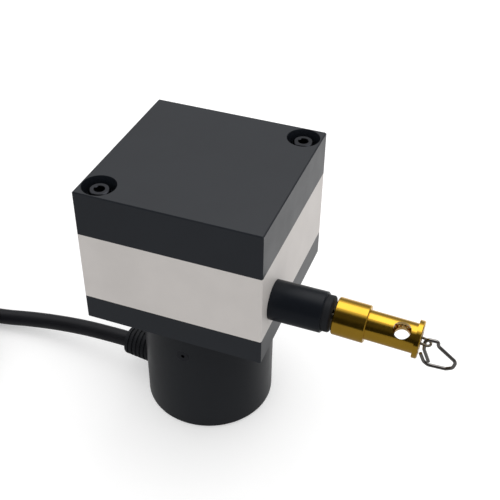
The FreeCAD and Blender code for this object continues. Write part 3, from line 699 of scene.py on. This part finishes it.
# Studio, which in gloss is dark on the camera's side and at the horizon
floor_glow = 0.35
floor_front_gloss = 0.3
floor_back_gloss = 0.94
sky_front_gloss = 0.05
sky_back_gloss = 1.17
horizon_gloss = 0.25
floor_dark_y, floor_bright_y = -0.01, 0.05
sky_dark_y, sky_bright_y = -0.35, 0.05
horizon_z, high_z = 0.42, 0.68
world_strength = 0.95
lamp_place = (0.05, 0.22, 0.6)
lamp_target = (0.0, 0.0, 0.05)
lamp_size = 0.5
lamp_power = 0.58


def stage_node(tree, kind, operation=None):
    """Node of the floor's or the world's tree."""
    node = tree.nodes.new(kind)
    if operation:
        node.operation = operation
    return node


def axis_ramp(tree, vector, axis, low, high, out_low, out_high):
    """A strength that changes along one axis."""
    apart = stage_node(tree, "ShaderNodeSeparateXYZ")
    tree.links.new(vector, apart.inputs["Vector"])
    ramp = stage_node(tree, "ShaderNodeMapRange")
    numbers = (("From Min", low), ("From Max", high), ("To Min", out_low), ("To Max", out_high))
    for key, number in numbers:
        ramp.inputs[key].default_value = number
    tree.links.new(apart.outputs[axis], ramp.inputs["Value"])
    return ramp.outputs["Result"]


def combined(tree, operation, first, second):
    """Two values put together by a math node."""
    node = stage_node(tree, "ShaderNodeMath", operation)
    tree.links.new(first, node.inputs[0])
    tree.links.new(second, node.inputs[1])
    return node.outputs[0]


def make_stage():
    """Pale floor, white to the camera, that keeps the object's shadow. In gloss its camera side is darker."""
    bpy.ops.mesh.primitive_plane_add(size=3.0, location=(0, 0, 0))
    floor = bpy.context.object
    floor.name = "floor"
    material = bpy.data.materials.new("floor_white")
    material.use_nodes = True
    tree = material.node_tree
    diffuse = stage_node(tree, "ShaderNodeBsdfDiffuse")
    diffuse.inputs["Color"].default_value = (0.8, 0.8, 0.8, 1.0)
    path = stage_node(tree, "ShaderNodeLightPath")
    seen = combined(tree, "MAXIMUM", path.outputs["Is Camera Ray"], path.outputs["Is Transmission Ray"])
    strength = stage_node(tree, "ShaderNodeMath", "MULTIPLY")
    strength.inputs[1].default_value = floor_glow
    tree.links.new(seen, strength.inputs[0])
    glow = stage_node(tree, "ShaderNodeEmission")
    tree.links.new(strength.outputs[0], glow.inputs["Strength"])
    plain = stage_node(tree, "ShaderNodeAddShader")
    tree.links.new(diffuse.outputs[0], plain.inputs[0])
    tree.links.new(glow.outputs[0], plain.inputs[1])
    place = stage_node(tree, "ShaderNodeTexCoord").outputs["Object"]
    gloss = stage_node(tree, "ShaderNodeEmission")
    side = axis_ramp(tree, place, "Y", floor_dark_y, floor_bright_y, floor_front_gloss, floor_back_gloss)
    tree.links.new(side, gloss.inputs["Strength"])
    both = stage_node(tree, "ShaderNodeMixShader")
    tree.links.new(path.outputs["Is Glossy Ray"], both.inputs[0])
    tree.links.new(plain.outputs[0], both.inputs[1])
    tree.links.new(gloss.outputs[0], both.inputs[2])
    tree.links.new(both.outputs[0], tree.nodes["Material Output"].inputs["Surface"])
    floor.data.materials.append(material)


def make_world():
    """White to the camera, dark in gloss on the camera's side, and plain studio light for the rest."""
    world = bpy.data.worlds.new("studio")
    bpy.context.scene.world = world
    world.use_nodes = True
    tree = world.node_tree
    path = stage_node(tree, "ShaderNodeLightPath")
    light = tree.nodes["Background"]
    light.inputs["Color"].default_value = (1.0, 1.0, 1.0, 1.0)
    light.inputs["Strength"].default_value = world_strength
    gloss = stage_node(tree, "ShaderNodeBackground")
    gloss.inputs["Color"].default_value = (1.0, 1.0, 1.0, 1.0)
    toward = stage_node(tree, "ShaderNodeTexCoord").outputs["Generated"]
    side = axis_ramp(tree, toward, "Y", sky_dark_y, sky_bright_y, sky_front_gloss, sky_back_gloss)
    height = axis_ramp(tree, toward, "Z", horizon_z, high_z, horizon_gloss, 1.0)
    tree.links.new(combined(tree, "MULTIPLY", side, height), gloss.inputs["Strength"])
    white = stage_node(tree, "ShaderNodeBackground")
    white.inputs["Color"].default_value = (1.0, 1.0, 1.0, 1.0)
    first = stage_node(tree, "ShaderNodeMixShader")
    tree.links.new(path.outputs["Is Glossy Ray"], first.inputs[0])
    tree.links.new(light.outputs[0], first.inputs[1])
    tree.links.new(gloss.outputs[0], first.inputs[2])
    second = stage_node(tree, "ShaderNodeMixShader")
    seen = combined(tree, "MAXIMUM", path.outputs["Is Camera Ray"], path.outputs["Is Transmission Ray"])
    tree.links.new(seen, second.inputs[0])
    tree.links.new(first.outputs[0], second.inputs[1])
    tree.links.new(white.outputs[0], second.inputs[2])
    tree.links.new(second.outputs[0], tree.nodes["World Output"].inputs["Surface"])


def area_lamp(name, place, target, size, power):
    """Round soft lamp that faces a target."""
    data = bpy.data.lights.new(name, "AREA")
    data.shape = "DISK"
    data.size = size
    data.energy = power
    lamp = bpy.data.objects.new(name, data)
    lamp.location = place
    lamp.rotation_mode = "QUATERNION"
    lamp.rotation_quaternion = (Vector(target) - Vector(place)).to_track_quat("-Z", "Y")
    bpy.context.scene.collection.objects.link(lamp)
    return lamp


def make_lights():
    """One large soft lamp high behind the object."""
    area_lamp("top_lamp", lamp_place, lamp_target, lamp_size, lamp_power)


def dress_nodes(materials):
    """Every CAD node gets its slot's material, shown or hidden."""
    slots = {}
    for part in frame["record"]["subparts"]:
        slots[part["node"]] = part["material_slot"]
    for name, node in nodes.items():
        node.data.materials.clear()
        node.data.materials.append(materials[slots[name]])


def main():
    """Camera, studio and materials first, and then the pieces."""
    bpy.context.scene.view_settings.view_transform = "Standard"
    make_camera()
    make_world()
    make_lights()
    make_stage()
    materials = make_materials()
    dress_nodes(materials)
    make_cable(materials)
    make_boot(materials)
    make_cover_screws(materials)
    make_draw_wire(materials)
    make_ferrule_thread(materials)
    make_rope_eye(materials)


main()
